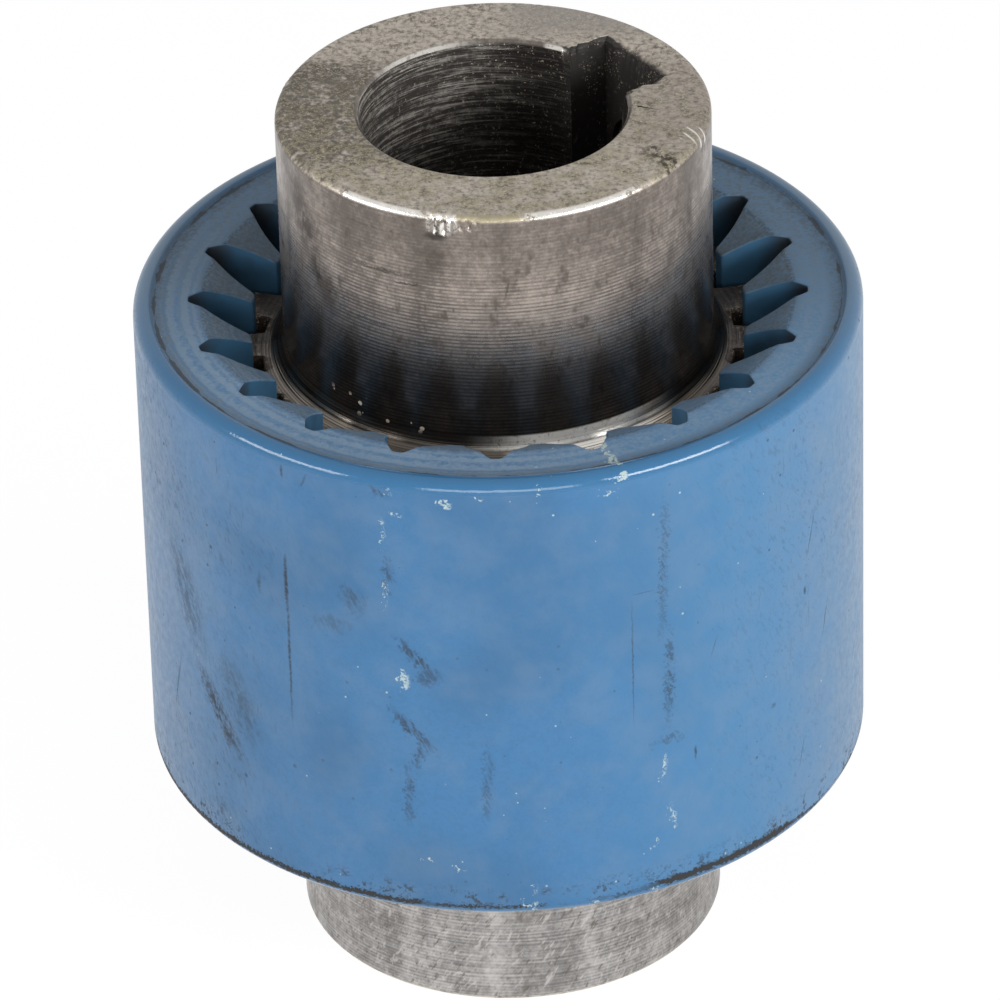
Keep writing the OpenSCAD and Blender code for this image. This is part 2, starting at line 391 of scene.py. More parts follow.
def sleeve_section(radius):
    """Half of the section of the sleeve, from the stop ring over the end face to the outside.

    radius is where the inner wall lies; the result is a list of radii and heights.
    """
    tooth_tip = settings("teeth").tooth_tip
    sleeve = settings("sleeve")
    face = SLEEVE_TOP.z - sleeve.face_drop
    bevel_end = tooth_tip + sleeve.bevel_width
    slope = sleeve.bevel_depth / sleeve.bevel_width
    rim_inside = SLEEVE_TOP.x - sleeve.rim_width

    def end_point(r, below=0):
        return r, face - max(0, bevel_end - r) * slope - below

    stop = sleeve.stop_thickness / 2
    edge = sleeve.edge
    top = end_point(radius)[1]
    section = [(sleeve.stop_radius, 0), (sleeve.stop_radius, stop - edge)]
    section += [(sleeve.stop_radius + edge, stop), (tooth_tip * 0.96, stop)]
    section += [(radius, z) for z in spread(stop, top - 3 * edge, 7)]
    section += [(radius, top - edge), end_point(radius + 0.3 * edge, 0.25 * edge), end_point(radius + edge)]
    bevel_stop = max(bevel_end, radius + 4 * edge)
    section += [end_point(r) for r in spread(radius + 3 * edge, bevel_stop, 3)]
    section += [(r, face) for r in spread(bevel_stop, rim_inside - 0.15 * MM, 4)[1:]]
    for outward, height in ((0, 0.12), (0.1, 0.5), (0.22, 0.88), (0.36, 1)):
        section.append((rim_inside + outward * MM, face + height * sleeve.face_drop))
    centre_r = SLEEVE_TOP.x - sleeve.rim_round
    centre_z = SLEEVE_TOP.z - sleeve.rim_round
    section += [(centre_r + x, centre_z + y) for x, y in arc(sleeve.rim_round, math.pi / 2, 0, 9)]
    section += [(SLEEVE_TOP.x, z) for z in spread(centre_z, 0, 7)[1:]]
    return section


def sleeve_sector():
    """Mesh of one sector of the sleeve, with a gap along +X."""
    teeth = settings("teeth")
    bottom = math.atan2(teeth.bottom_width / 2, teeth.gap_bottom)
    tip = teeth.tooth_tip
    corners = (0.45 * MM, 3), (0.3 * MM, 2)
    outline = sector_outline(teeth.gap_bottom, bottom, gap_half_width(), tip, tip * 0.992, 2, *corners)
    columns = []
    for x, y in outline:
        angle = math.atan2(y, x)
        upper = sleeve_section(math.hypot(x, y))
        lower = [(r, -z) for r, z in reversed(upper)]
        columns.append([polar(r, angle, z) for r, z in upper + lower[1:]])
    return grid_mesh("sleeve_sector", np.array(columns).transpose(1, 0, 2))


def hub_outline(offset, inset):
    """Outline of one sector of a hub, with a tooth along +X.

    offset is the height from the middle of the gear, and inset is how far the outline draws in.
    """
    teeth = settings("teeth")
    half_way = (teeth.gap_bottom + teeth.tooth_tip) / 2
    thickest = teeth.tooth_tip + teeth.bulge
    flank_rise = math.sqrt(teeth.hub_flank ** 2 - (half_way - thickest) ** 2)
    flank_x = gap_half_width()(half_way) - teeth.side_clearance - flank_rise
    crown_x = teeth.hub_flank + flank_x - teeth.crown

    def half_width(y):
        reach = flank_x - crown_x + math.sqrt(teeth.hub_flank ** 2 - (y - thickest) ** 2)
        return crown_x + math.sqrt(reach ** 2 - offset ** 2)

    root = teeth.hub_root
    tip = math.sqrt(teeth.hub_tip ** 2 - offset ** 2)
    tip_angle = math.atan2(half_width(tip), tip)
    corners = (0.4 * MM, 3), (0.3 * MM, 3)
    outline = np.array(sector_outline(tip, tip_angle, half_width, root, root * 0.995, 3, *corners))
    if inset:
        way = np.gradient(outline, axis=0)
        way[0] = (math.sin(math.pi / teeth.count), math.cos(math.pi / teeth.count))
        way[-1] = (-way[0][0], way[0][1])
        way /= np.linalg.norm(way, axis=1, keepdims=True)
        outline = outline + inset * np.stack([-way[:, 1], way[:, 0]], axis=1)
    return outline


def join_radius():
    """Radius at which the toothed ring and the middle of a hub meet."""
    return settings("hub").key_reach + 2.1 * MM


def hub_sector():
    """Mesh of one sector of the upper hub outside the bore."""
    teeth = settings("teeth")
    hub = settings("hub")
    low = HUB_INNER_FACE
    face = low + hub.gear_width
    edge = 0.2 * MM
    levels = [(low, edge), (low + 0.3 * edge, 0.3 * edge), (low + edge, 0)]
    levels += [(z, 0) for z in spread(low + 2 * edge, face - 2 * edge, 9)]
    levels += [(face - edge, 0), (face - 0.3 * edge, 0.3 * edge), (face, edge)]
    gear = []
    for z, inset in levels:
        outline = hub_outline(z - (low + face) / 2, inset)
        gear.append(np.column_stack([outline, np.full(len(outline), z)]))
    half_angle = math.pi / teeth.count
    angles = spread(-half_angle, half_angle, len(outline) - 1)

    def ring(radius, z):
        return np.array([polar(radius, a, z) for a in angles])

    neck_r = hub.collar + hub.neck
    neck_z = face + hub.neck
    foot_r = teeth.hub_root - 0.45 * MM
    foot_turn = math.acos((neck_r - foot_r) / hub.neck)
    foot = ring(foot_r, neck_z - hub.neck * math.sin(foot_turn))
    upper = [(gear[-1] + foot) / 2, foot]
    upper += [ring(neck_r - x, neck_z - y) for x, y in arc(hub.neck, foot_turn, 0, 7)[1:]]
    edge_z = HUB_TOP - hub.chamfer
    for start, stop in ((neck_z, edge_z - 2 * MM), (edge_z - 2 * MM, edge_z)):
        upper += [ring(hub.collar, z) for z in spread(start, stop, 8)[1:]]
    flat_r = hub.collar - hub.chamfer
    upper += [ring(flat_r + x, edge_z + y) for x, y in arc(hub.chamfer, 0, math.pi / 2, 8)[1:]]
    upper += [ring(r, HUB_TOP) for r in spread(flat_r, join_radius(), 5)[1:]]
    lower = [ring(r, low) for r in (join_radius(), (join_radius() + foot_r) / 2, foot_r)]
    return grid_mesh("hub_sector", lower + gear + upper)


# Bore and keyway

def bore_point(turn):
    """A point of the bore's outline, keyway along +X, for an even turn from -pi to pi.

    The turns up to floor_turn go to the keyway's floor, those up to bore_turn to its walls and lips,
    and the rest to the bore.
    """
    hub = settings("hub")
    side = abs(turn)
    sign = 1 if turn >= 0 else -1
    half = hub.key_width / 2
    lip_x = math.sqrt(hub.bore ** 2 - half ** 2) + hub.key_bevel
    lip_angle = math.atan2(half, lip_x)
    floor_turn, wall_turn, bore_turn = math.radians(19), math.radians(24), math.radians(26)
    if side <= floor_turn:
        return hub.key_reach, sign * half * side / floor_turn
    if side <= bore_turn:
        t = min(1, (side - floor_turn) / (wall_turn - floor_turn))
        return hub.key_reach + t * (lip_x - hub.key_reach), sign * half
    angle = lip_angle + (side - bore_turn) / (math.pi - bore_turn) * (math.pi - lip_angle)
    return hub.bore * math.cos(angle), sign * hub.bore * math.sin(angle)


def ragged(x, y, least, most):
    """How far a torn edge draws back at a place, from fixed noise; least and most are in millimetres."""
    place = Vector((x, y, 0)) / MM
    coarse = noise.noise(place * 0.8 + Vector((3.1, 7.7, 1.3)))
    fine = noise.noise(place * 2.3 + Vector((9.2, 2.4, 5.5)))
    share = min(1.0, max(0.0, 0.5 + 0.8 * coarse + 0.5 * fine))
    return (least + (most - least) * share) * MM


def torn_edge(outline):
    """How far each point of the bore's outline is torn away at the end face, round the keyway."""
    hub = settings("hub")
    half = hub.key_width / 2
    lip = half + hub.key_bevel
    mouth = math.sqrt(hub.bore ** 2 - half ** 2) - 1.6 * MM
    broken_side, worn_side = (3.4 * MM, 0.8, 1.6), (1.6 * MM, 0.05, 0.6)
    torn = np.zeros_like(outline)
    for i, (x, y) in enumerate(outline):
        span, least, most = broken_side if y < 0 else worn_side
        beyond = max(0, abs(y) - lip)
        if x < mouth or beyond > span:
            continue
        share = min(1, max(0, abs(y) / half - 0.5) / 0.48) * (1 - beyond / span)
        moved = math.copysign(abs(y) + ragged(x, y, least, most) * share, y)
        torn[i, 1] = moved - y
        if x > hub.key_reach - 0.01 * MM:
            torn[i, 0] = ragged(x, y, 0.05, 0.8)
        elif abs(y) > lip:
            torn[i, 0] = math.sqrt(hub.bore ** 2 - moved ** 2) - x
    return torn


def bore_mesh(columns):
    """Mesh of the middle of the upper hub: its end faces inside the join, the bore and the keyway."""
    turns = (np.arange(columns) / columns * math.tau - key_angle() + math.pi) % math.tau - math.pi
    outline = np.array([bore_point(t) for t in turns])
    outward = outline / np.linalg.norm(outline, axis=1, keepdims=True)
    rim = np.column_stack([np.cos(turns), np.sin(turns)]) * join_radius()
    chamfer = settings("hub").bore_chamfer
    torn = torn_edge(outline)
    top, low = HUB_TOP, HUB_INNER_FACE
    edge = outline + outward * chamfer + torn
    levels = [(rim + (edge - rim) * t, top) for t in (0, 0.4, 0.7, 0.9)]
    levels.append((edge, top - 0.02 * MM))
    levels.append((outline + outward * 0.55 * chamfer + 0.85 * torn, top - 0.45 * chamfer))
    levels.append((outline + outward * 0.1 * chamfer + 0.65 * torn, top - chamfer))
    for depth, share in ((0.9, 0.5), (1.5, 0.33), (2.4, 0.17), (3.6, 0)):
        levels.append((outline + share * torn, top - depth * MM))
    levels += [(outline, z) for z in spread(top - 4.6 * MM, low + 2 * MM, 14)]
    levels.append((outline, low + chamfer))
    edge = outline + outward * chamfer
    levels += [(edge + (rim - edge) * t, low) for t in (0, 0.5, 1)]
    cosine, sine = math.cos(key_angle()), math.sin(key_angle())
    rows = []
    for flat, height in levels:
        x = flat[:, 0] * cosine - flat[:, 1] * sine
        y = flat[:, 0] * sine + flat[:, 1] * cosine
        rows.append(np.column_stack([x, y, np.full(columns, height)]))
    return grid_mesh("bore", rows, closed=True)


def hub_mesh(name, material):
    """Mesh of the upper hub, without its dents and its screw hole."""
    columns = (len(hub_outline(0, 0)) - 1) * settings("teeth").count
    shape = bmesh.new()
    for part in (toothed_ring(name, hub_sector(), material), bore_mesh(columns)):
        shape.from_mesh(part)
    bmesh.ops.remove_doubles(shape, verts=shape.verts, dist=WELD)
    mesh = bpy.data.meshes.new(name)
    shape.to_mesh(mesh)
    shape.free()
    return mesh


def dent(mesh, angle, width, depth, height):
    """Crushes the collar's upper edge at an angle, with small ridges across the dent."""
    hub = settings("hub")
    inner_limit = hub.collar - 2.5 * MM
    turn = math.radians(angle)
    centre = Vector(polar(hub.collar, turn, HUB_TOP - hub.chamfer))
    across = Vector((-math.sin(turn), math.cos(turn), 0))
    inward = -Vector(polar(1, turn, 0))
    for vertex in mesh.vertices:
        away = vertex.co - centre
        side = away.dot(across) / width
        rise = away.z / height
        fall = math.exp(-side ** 4 - rise ** 4)
        if fall < 0.02 or vertex.co.xy.length < inner_limit:
            continue
        ridge = 0.55 + 0.45 * math.sin(side * 7.0 + rise * 1.5)
        vertex.co += inward * depth * fall * ridge
        vertex.co.z -= depth * 0.7 * fall * ridge


# Set screws and their holes

def screw_row(x, radii):
    """A row of points round the X axis at a place along it, with one radius for each point."""
    turns = [math.tau * i / len(radii) for i in range(len(radii))]
    return [(x, r * math.cos(a), r * math.sin(a)) for r, a in zip(radii, turns)]


def on_screw_axis(name, rows):
    """A closed mesh from rows of points round the X axis, moved onto the upper set screw's axis."""
    mesh = grid_mesh(name, rows, closed=True)
    height = HUB_TOP - settings("screw").inset
    place = Matrix.Rotation(key_angle(), 4, "Z") @ Matrix.Translation((0, 0, height))
    shape = bmesh.new()
    shape.from_mesh(mesh)
    bmesh.ops.holes_fill(shape, edges=shape.edges)
    bmesh.ops.recalc_face_normals(shape, faces=shape.faces)
    bmesh.ops.transform(shape, matrix=place, verts=shape.verts)
    shape.to_mesh(mesh)
    shape.free()
    return mesh


def screw_plug():
    """Mesh of a solid plug in the shape of the upper set screw's hole, with its bevelled mouth."""
    screw = settings("screw")
    hub = settings("hub")
    mouth = hub.collar - screw.hole_bevel
    over = 1 * MM
    widest = screw.hole + screw.hole_bevel + over
    profile = (
        (hub.key_reach - over, screw.hole),
        (mouth, screw.hole),
        (mouth + screw.hole_bevel + over, widest),
    )
    return on_screw_axis("plug", [screw_row(x, [radius] * 64) for x, radius in profile])


def drilled(mesh):
    """The mesh of the upper hub with the hole for its set screw cut into it."""
    piece = placed("drilled", mesh)
    plug = placed("plug", screw_plug())
    cut = piece.modifiers.new("hole", "BOOLEAN")
    cut.operation = "DIFFERENCE"
    cut.solver = "EXACT"
    cut.object = plug
    result = baked(piece)
    bpy.data.objects.remove(plug)
    return result


def screw_mesh():
    """Mesh of the upper set screw: a thread with a hexagon socket outside and a cup inside."""
    screw = settings("screw")
    columns = 72
    outer = settings("hub").collar - screw.sink
    inner = settings("hub").key_reach
    flat = screw.radius - screw.thread_depth
    cup = flat * 0.6

    def hexagon(across_flats):
        turns = [math.tau * i / columns for i in range(columns)]
        return [across_flats / 2 / math.cos(a % (math.pi / 3) - math.pi / 6) for a in turns]

    def thread(x):
        radii = []
        for i in range(columns):
            phase = (x / screw.pitch - i / columns) % 1
            height = min(1, 1.6 * abs(2 * phase - 1))
            end = min(1, (x - inner) / (0.7 * MM), (outer - x) / (0.7 * MM))
            radii.append(flat + screw.thread_depth * height * end)
        return radii

    profile = [(inner + cup, [AXIS_GAP] * columns), (inner, [cup] * columns)]
    profile.append((inner + 0.3 * MM, [flat] * columns))
    profile += [(x, thread(x)) for x in spread(inner + 0.35 * MM, outer - 0.35 * MM, 33)]
    profile += [(outer - 0.05 * MM, [flat] * columns), (outer, [flat - 0.2 * MM] * columns)]
    profile += [(outer, hexagon(screw.socket + 0.3 * MM)), (outer - 0.15 * MM, hexagon(screw.socket))]
    profile.append((outer - screw.socket_depth, hexagon(screw.socket)))
    profile.append((outer - screw.socket_depth - 0.4 * MM, [AXIS_GAP] * columns))
    return on_screw_axis("set_screw", [screw_row(x, radii) for x, radii in profile])


def turned_over(mesh):
    """A copy of a piece of the upper hub, turned over for the lower hub."""
    lower = mesh.copy()
    lower.transform(Matrix.Rotation(2 * key_angle(), 4, "Z") @ Matrix.Rotation(math.pi, 4, "X"))
    return lower


# Shader nodes

class Value:
    """What a shader node gives; sums, products and fades of it are nodes too, and | takes the greater."""

    def __init__(self, tree, socket):
        self.tree = tree
        self.socket = socket

    def node(self, kind, inputs, output=0, **values):
        """The value that a new node of the same tree gives."""
        return Value(self.tree, add_node(self.tree, kind, inputs, **values).outputs[output])

    def math(self, operation, *inputs, clamp=False):
        """The value of a new math node with these inputs."""
        return self.node("ShaderNodeMath", dict(enumerate(inputs)), operation=operation, use_clamp=clamp)

    def vector(self, operation, *inputs, output=0):
        """The same with a vector math node."""
        return self.node("ShaderNodeVectorMath", dict(enumerate(inputs)), output, operation=operation)

    def __add__(self, other):
        return self.math("ADD", self, other)

    def __sub__(self, other):
        return self.math("SUBTRACT", self, other)

    def __rsub__(self, other):
        return self.math("SUBTRACT", other, self)

    def __mul__(self, other):
        return self.math("MULTIPLY", self, other)

    def __or__(self, other):
        return self.math("MAXIMUM", self, other)

    def __abs__(self):
        return self.math("ABSOLUTE", self)

    def sine(self):
        return self.math("SINE", self)

    def fade(self, start, end, low=0.0, high=1.0):
        """Smoothly from low at start to high at end; start may be above end."""
        if start > end:
            start, end, low, high = end, start, high, low
        inputs = dict(enumerate((self, start, end, low, high)))
        return self.node("ShaderNodeMapRange", inputs, interpolation_type="SMOOTHSTEP")

    def near(self, centre, reach, soft):
        """1 within reach of a centre, fading to 0 over soft."""
        return abs(self - centre).fade(reach + soft, reach)

    def rings(self, scale, detail=2.0):
        """Noise along the value."""
        inputs = {"W": self, "Scale": scale, "Detail": detail}
        return self.node("ShaderNodeTexNoise", inputs, noise_dimensions="1D")


class Kit:
    """Shader nodes of one material. Lengths are in millimetres of Object coordinates.

    height is the distance from the middle of the coupling, up or down, and angle is in degrees.
    """

    def __init__(self, name):
        self.material = bpy.data.materials.new(name)
        self.material.use_nodes = True
        tree = self.material.node_tree
        source = Value(tree, add_node(tree, "ShaderNodeTexCoord").outputs["Object"])
        self.place = source.vector("MULTIPLY", source, (1 / MM, 1 / MM, 1 / MM))
        split = add_node(tree, "ShaderNodeSeparateXYZ", {0: self.place})
        self.x, self.y, self.z = [Value(tree, socket) for socket in split.outputs]
        flat = source.vector("MULTIPLY", self.place, (1, 1, 0))
        self.radius = source.vector("LENGTH", flat, output="Value")
        self.turn = source.math("ARCTAN2", self.y, self.x)
        self.angle = self.turn * (180 / math.pi)
        self.height = abs(self.z)
        self.base = None

    def noise(self, stretch=(1, 1, 1), scale=1.0, detail=2.0, roughness=0.6, seed=0.0, place=None):
        """Noise over the piece; scale is in waves per millimetre."""
        shift = (seed, seed * 1.7, seed * 0.6)
        vector = self.place.vector("MULTIPLY_ADD", place or self.place, stretch, shift)
        inputs = {"Vector": vector, "Scale": scale, "Detail": detail, "Roughness": roughness}
        return vector.node("ShaderNodeTexNoise", inputs)

    def along(self, direction):
        """Distance along a direction from the middle of the coupling."""
        return self.place.vector("DOT_PRODUCT", self.place, direction, output="Value")

    def tilted(self, degrees):
        """Object coordinates turned about Y, for marks that lean."""
        c, s = math.cos(math.radians(degrees)), math.sin(math.radians(degrees))
        inputs = {0: self.along((c, 0, s)), 1: self.y, 2: self.along((-s, 0, c))}
        return self.place.node("ShaderNodeCombineXYZ", inputs)

    def cells(self, scale, seed=0.0):
        """Distance to the middle of a random cell, and two random values for the cell."""
        vector = self.place.vector("ADD", self.place, (seed, seed, seed))
        tree = vector.tree
        cells = add_node(tree, "ShaderNodeTexVoronoi", {"Vector": vector, "Scale": scale}).outputs
        pick = add_node(tree, "ShaderNodeSeparateColor", {0: cells["Color"]}).outputs
        return [Value(tree, socket) for socket in (cells["Distance"], pick[0], pick[1])]

    def spots(self, cells, share, size, least=0.0):
        """Small spots in a share of the cells, of different sizes; least picks other cells."""
        distance, pick, other = cells
        chosen = pick.math("GREATER_THAN", pick, least) if least else pick.math("LESS_THAN", pick, share)
        return (distance - other * size).fade(0.03, -0.01) * chosen

    def mix(self, share, first, second):
        """A colour between two; the share is the second one's."""
        return self.place.node("ShaderNodeMix", {0: share, 6: first, 7: second}, 2, data_type="RGBA")

    def mix_value(self, share, first, second):
        """The same with two numbers."""
        return self.place.node("ShaderNodeMix", {0: share, 2: first, 3: second})

    def paint(self, share, colour):
        """Lays a colour over what the material has so far."""
        self.base = self.mix(share, self.base, colour)

    def wrapped(self, radius, sideways=0.0, upward=0.0):
        """A cylinder's wall laid flat: millimetres round it and up it, with a wobble of both."""
        across = self.turn.math("MULTIPLY_ADD", self.turn, radius, sideways)
        up = self.z + upward
        return across.node("ShaderNodeCombineXYZ", {0: across, 1: up}), up, radius

    def marks(self, wall, *table):
        """The strongest of several oval marks on a wrapped wall.

        Each row has the angle and the height of a mark, halves of its width and its height, its lean
        in millimetres sideways per millimetre up, how full it is and its strength. A mark's value is
        1 less the squared length of a vector whose third part is there to hold the strength down.
        """
        flat, up, radius = wall
        leaned = {0: flat}
        least = None
        for angle, height, wide, tall, lean, full, strength in table:
            if lean not in leaned:
                leaned[lean] = flat.vector("MULTIPLY_ADD", up, (-lean, 0, 0), flat)
            across = math.radians(angle) * radius - lean * height
            share = math.sqrt(strength) / (0.71 * (1 + full))
            middle = (-across * share / wide, -height * share / tall, math.sqrt(1 - strength))
            local = flat.vector("MULTIPLY_ADD", leaned[lean], (share / wide, share / tall, 0), middle)
            away = flat.vector("DOT_PRODUCT", local, local, output="Value")
            least = away if least is None else away.math("MINIMUM", least, away)
        return least.math("SUBTRACT", 1.0, least, clamp=True)

    def finish(self, roughness, relief, metallic=0.0):
        """Joins the colour, the roughness, a relief in 0.02 mm and the metal's share to the shader."""
        tree = self.material.node_tree
        bump = add_node(tree, "ShaderNodeBump", {"Height": relief, "Distance": 0.02 * MM})
        inputs = {"Base Color": self.base, "Roughness": roughness, "Normal": bump, "Metallic": metallic}
        connect(tree, tree.nodes["Principled BSDF"], inputs)
        return self.material


def toned(colour, factor):
    """A colour made darker or lighter by a factor."""
    return tuple(c * factor for c in colour[:3]) + (1,)


# Materials

def sleeve_plastic():
    """Blue moulded plastic: scuffed, with dirt and painted shade in the corners, a dull film on the end
    faces and painted light on the right side.

    -90 degrees is the front of the photograph, and -180 its left.
    """
    kit = Kit("sleeve_plastic")
    sleeve = settings("sleeve")
    outside, end = SLEEVE_TOP.x / MM, SLEEVE_TOP.z / MM
    step_r = outside - sleeve.rim_width / MM
    bevel_r = (settings("teeth").tooth_tip + sleeve.bevel_width) / MM
    x, y, z, radius, height, angle = kit.x, kit.y, kit.z, kit.radius, kit.height, kit.angle
    broad = kit.noise(scale=0.06, detail=1, seed=4)
    worn = kit.noise(scale=0.26, seed=9)
    mottle = kit.noise(scale=1.1, roughness=0.7)
    crumb = kit.noise(scale=2.8, roughness=0.75, seed=19)
    scratch = kit.noise(stretch=(2.6, 2.6, 0.3), roughness=0.7, seed=11)
    slanted = kit.noise(stretch=(2.6, 1.6, 0.6), roughness=0.8, seed=52, place=kit.tilted(28))
    wobble = mottle - 0.5
    rough_edge = crumb - 0.5
    grain = mottle * 0.45 + crumb * 0.55
    inside = radius.fade(step_r + 0.25, step_r - 0.1)
    slope = sleeve.bevel_depth / sleeve.bevel_width
    end_height = end - sleeve.face_drop / MM - ((bevel_r - radius) * slope | 0.0)
    on_end = inside * (height - end_height).fade(-0.22, -0.06)
    on_flank = inside - on_end
    on_rim = height.fade(end - 1.4, end - 0.8) * radius.fade(step_r, step_r + 0.4)
    on_wall = radius.fade(outside - 0.5, outside - 0.2)
    on_bevel = on_end * radius.fade(bevel_r + 0.1, bevel_r - 0.2)
    far = y.fade(-18, 10)

    # Plastic, dust and films, with painted light on the right side and painted shade at the back of the end
    # faces and deep in the gaps
    duller = toned(sleeve.plastic, 0.74)
    kit.base = kit.mix(broad.fade(0.35, 0.65, 0.0, 0.7), sleeve.plastic, duller)
    kit.paint(grain.fade(0.4, 0.64) * 0.4, duller)
    # Painted light: the plastic paler towards the right side.
    kit.paint(x.fade(2, 26), sleeve.painted_right_light)
    kit.paint(on_wall * (worn.fade(0.35, 0.75, 0, 0.25) + abs(x).fade(21, 32, 0, 0.25)), sleeve.dust)
    kit.paint(on_rim * 0.8, sleeve.rim)
    kit.paint(on_rim * far * 0.75, toned(sleeve.film, 0.8))
    turned = (radius + wobble * 0.8).rings(1.5, 1)
    film = grain.fade(0.38, 0.62, 0.3, 0.75) + turned.fade(0.35, 0.65) * (x + y).fade(-8, -28, 0.05, 0.45)
    kit.paint(on_end * film, sleeve.film)
    # Painted shade: the end faces darker towards the back, broken by grain; the tooth ends get dirt with
    # painted shade added towards the back.
    kit.paint(on_end * y.fade(-16, 16) * grain.fade(0.4, 0.6, 0.4, 0.85), toned(sleeve.film, 0.42))
    kit.paint(on_bevel * (crumb.fade(0.35, 0.65, 0.1, 0.55) + far * 0.25), sleeve.tooth_dirt)
    # Grease and painted shade: the gap walls darker further down.
    kit.paint(on_flank * height.fade(end - 1, end - 6.5, 0.8, 0.97), sleeve.gap_grease_and_shade)
    kit.paint(on_flank * worn.fade(0.45, 0.7) * 0.4, sleeve.grime_and_shade)

    # Dirt along the edges of the end face and in scratches, with painted shade beside the rim and at the
    # roots of the gaps
    ring = radius + wobble * 0.35
    bevel_line = on_end * ring.near(bevel_r + 0.05, 0.04, 0.3) * crumb.fade(0.36, 0.54)
    step_line = (abs(ring - (step_r - 0.22)) - worn.fade(0.45, 0.6, 0.02, 0.2)).fade(0.12, -0.04)
    step_line = step_line * height.fade(end - 2, end - 1) * worn.fade(0.34, 0.44, 0.25, 1)
    shade = ring.near(step_r - 0.5, 0.1, 1.3) * on_end * grain.fade(0.4, 0.6, 0.15, 0.4)
    # Painted shade at the roots of the gaps.
    root = on_flank * radius.fade(25.4, 27.9, 0, 0.88)
    dark = step_line * 0.8 | shade | bevel_line * 0.5 | root

    streaks = kit.marks(
        kit.wrapped(outside, wobble * 0.35),
        (-124.9, 9.4, 0.34, 4.6, 0, 0.1, 1),
        (-124.8, 2.2, 0.24, 11.6, 0, 0.1, 0.8),
        (-130.4, 8.2, 0.34, 1.6, 0, 0.2, 0.55),
        (-124.7, -10.2, 0.35, 0.3, 0, 0.2, 0.7),
        (-69.2, 2.8, 0.11, 8.2, 0, 0.3, 0.6),
        (-67.4, 9.9, 1.7, 0.1, 0, 0.2, 0.4),
        (-58.6, -8.7, 0.18, 1, 0, 0.3, 0.85),
        (-54.9, 1.9, 0.14, 1.5, 0.4, 0.2, 0.5),
        (-35.5, -15, 0.14, 2, 0.3, 0.2, 0.6),
        (-28.1, -2.5, 0.14, 2.8, 0.3, 0.2, 0.7),
        (-32.5, 8, 0.16, 3.4, 0.3, 0.2, 0.6),
        (-34.4, 2.2, 0.28, 0.6, 0, 0.4, 0.85),
        (-42.6, -7.7, 0.45, 0.35, 0, 0.3, 0.6),
        (-154.2, -9.5, 0.2, 4.6, 0.3, 0.2, 0.65),
        (-141.4, 9.1, 0.3, 0.3, 0, 0.3, 0.8),
        (-135.2, -13.8, 0.35, 0.3, 0, 0.3, 0.7),
        (-124.9, 21, 0.26, 1, 0, 0.2, 0.75),
        (-120.9, 20.8, 0.2, 1, 0.4, 0.2, 0.6),
    )
    torn_wall = kit.wrapped(outside, rough_edge * 2.4, wobble * 3.0)
    smears = kit.marks(
        torn_wall,
        (-63.8, 12, 0.6, 10, 0.04, 0.2, 0.55),
        (-63.1, 0.5, 0.6, 7, 0.04, 0.2, 0.7),
        (-63.6, -6.4, 2.4, 0.6, 0.5, 0.2, 0.45),
        (-92.4, -8, 0.7, 6, 0.04, 0.2, 0.5),
        (-113, 9.8, 2, 2.4, 0, 0.1, 0.5),
        (-117, 6.4, 3.2, 1.4, 0.5, 0.1, 0.35),
        (-103.1, 4.5, 0.9, 2.6, -0.9, 0.4, 0.8),
        (-101.4, 2.6, 1.3, 1, 0.5, 0.4, 0.6),
        (-103.8, -3.3, 0.9, 2.6, -0.9, 0.4, 0.8),
        (-102.8, -6, 0.8, 2.2, 0.5, 0.4, 0.7),
        (-104.8, -10.2, 0.6, 4.4, 0.04, 0.3, 0.6),
        (-107, 13, 0.7, 2.2, 0, 0.3, 0.65),
        (-141, -8.6, 2, 5.4, -0.7, 0.2, 0.95),
        (-136, -6, 3.6, 7, -0.35, 0, 0.5),
        (-149.5, 2, 4, 9, -0.35, 0, 0.55),
        (-141.5, -18.9, 1.6, 1.4, 0, 0.1, 0.65),
        (-108, 21.2, 1.2, 0.8, 0, 0.1, 0.6),
    )
    dark = dark | streaks * crumb.fade(0.36, 0.56, 0.45, 1) | smears * slanted.fade(0.36, 0.6, 0.15, 1)

    # Haze and flecks that grow to the sides, and the dark line along the lower rim
    sides = abs(angle + 90).fade(26, 52)
    share = sides * x.fade(-10, 10, 0.32, 0.2) + 0.05
    haze = slanted.fade(0.5, 0.72) * broad.fade(0.38, 0.58, 0.35, 1)
    lines = scratch.fade(0.6, 0.72) * worn.fade(0.48, 0.6)
    dark = dark | (haze | lines) * share * on_wall
    cells = kit.cells(0.8, 5)
    dark = dark | kit.spots(cells, 0.2, 0.13) * on_wall * (sides * 0.35 + 0.3)
    thick = angle.near(-53, 8, 14)
    left = angle.fade(-98, -106)
    low_z = abs(z + rough_edge * 1.5 - thick.fade(0, 1, 1.05 - end, 1.35 - end))
    low_line = (low_z - (thick * 0.28 + left * 0.16)).fade(0.26, 0.04)
    gaps = (worn.fade(0.36, 0.46, 0.35, 1) | thick | left) - angle.near(-78, 4, 3) * 0.6
    smudge = z.near(1.8 - end, 0.3, 1.8) * grain.fade(0.5, 0.6) * on_wall
    smudge = smudge * (worn.fade(0.46, 0.56) | thick * 0.9)
    dark = dark | low_line * on_wall * gaps | smudge * 0.75
    # Dirt, scuffs and painted shade all go on in one colour.
    kit.paint(dark, sleeve.grime_and_shade)

